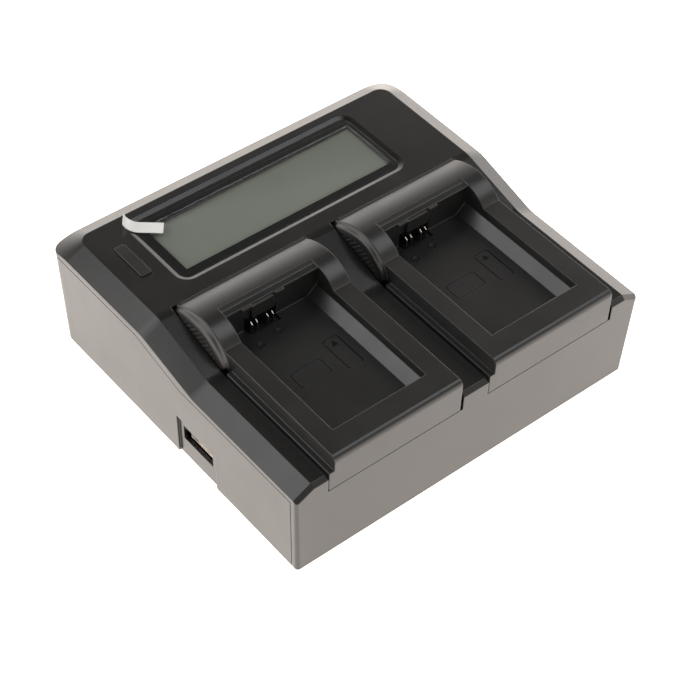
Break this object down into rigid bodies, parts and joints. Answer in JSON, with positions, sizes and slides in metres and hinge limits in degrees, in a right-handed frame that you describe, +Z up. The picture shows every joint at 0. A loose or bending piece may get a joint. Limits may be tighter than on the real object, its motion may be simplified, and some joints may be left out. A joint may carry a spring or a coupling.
{
  "type": "camera battery charger",
  "caption": "Low desktop charger for camera batteries: side-by-side lift-off battery plates, wide display behind them, mode button, USB outlet, mains inlet.",
  "frame": {"origin": "on the table, under the middle of the case's underside", "axes": "+X to the right along the front, +Y to the back, +Z up"},
  "size_m": [0.1408, 0.1267, 0.0493],
  "materials": {
    "housing": "satin, finely textured",
    "plate": "satin, finely textured",
    "button": "satin",
    "board": "green solder mask",
    "contact_metal": "plated",
    "black_plastic": "matt black",
    "window": "clear",
    "film": "clear film",
    "tab": "white film",
    "lcd": "grey-green panel",
    "backlight": "white",
    "cable": "pale flat cable",
    "pale_plastic": "cream",
    "steel": "plated",
    "fuse_glass": "clear tube",
    "ferrite": "matt",
    "winding_tape": "yellow tape",
    "can": "sleeved can",
    "aluminium": "extruded",
    "rubber": "matt"
  },
  "bodies": {
    "housing": {"ac_inlet": "black_plastic", "backlight_panel": "backlight", "base_shell": "housing", "board_screws": "steel", "cable_connectors": "pale_plastic", "case_screws": "steel", "controller_chips": "black_plastic", "display_bezel": "black_plastic", "display_board": "board", "display_screws": "steel", "display_window": "window", "film_pull_tab": "tab", "fuse": "fuse_glass", "fuse_clips": "steel", "heat_sink": "aluminium", "inlet_pins": "steel", "input_capacitor": "can", "lcd_panel": "lcd", "left_bay_cable": "cable", "left_pin_carrier": "black_plastic", "left_spring_pins": "contact_metal", "line_choke": "ferrite", "main_board": "board", "output_capacitors": "can", "power_transistor": "black_plastic", "ribbon_cable": "cable", "right_bay_cable": "cable", "right_pin_carrier": "black_plastic", "right_spring_pins": "contact_metal", "rubber_feet": "rubber", "screen_film": "film", "tact_switch": "black_plastic", "top_cover": "housing", "transformer_core": "ferrite", "transformer_winding": "winding_tape", "usb_contacts": "contact_metal", "usb_socket_shell": "steel", "usb_tongue": "pale_plastic"},
    "left_plate": {"left_battery_plate": "plate", "left_plate_cover": "plate", "left_plate_board": "board", "left_plate_contacts": "contact_metal", "left_contact_holder": "black_plastic", "left_plate_screws": "steel"},
    "right_plate": {"right_battery_plate": "plate", "right_plate_cover": "plate", "right_plate_board": "board", "right_plate_contacts": "contact_metal", "right_contact_holder": "black_plastic", "right_plate_screws": "steel"},
    "button": {"mode_button": "button", "switch_plunger": "black_plastic"}
  },
  "joints": [
    {"name": "left_plate_lift", "type": "slide", "parent": "housing", "child": "left_plate", "axis": [0, 0, 1], "range_m": [0, 0.03]},
    {"name": "right_plate_lift", "type": "slide", "parent": "housing", "child": "right_plate", "axis": [0, 0, 1], "range_m": [0, 0.03]},
    {"name": "mode_button_press", "type": "slide", "parent": "housing", "child": "button", "axis": [0, 0, -1], "range_m": [0, 0.0006], "stiffness_N_per_m": 2500, "springref_m": -0.0004}
  ]
}
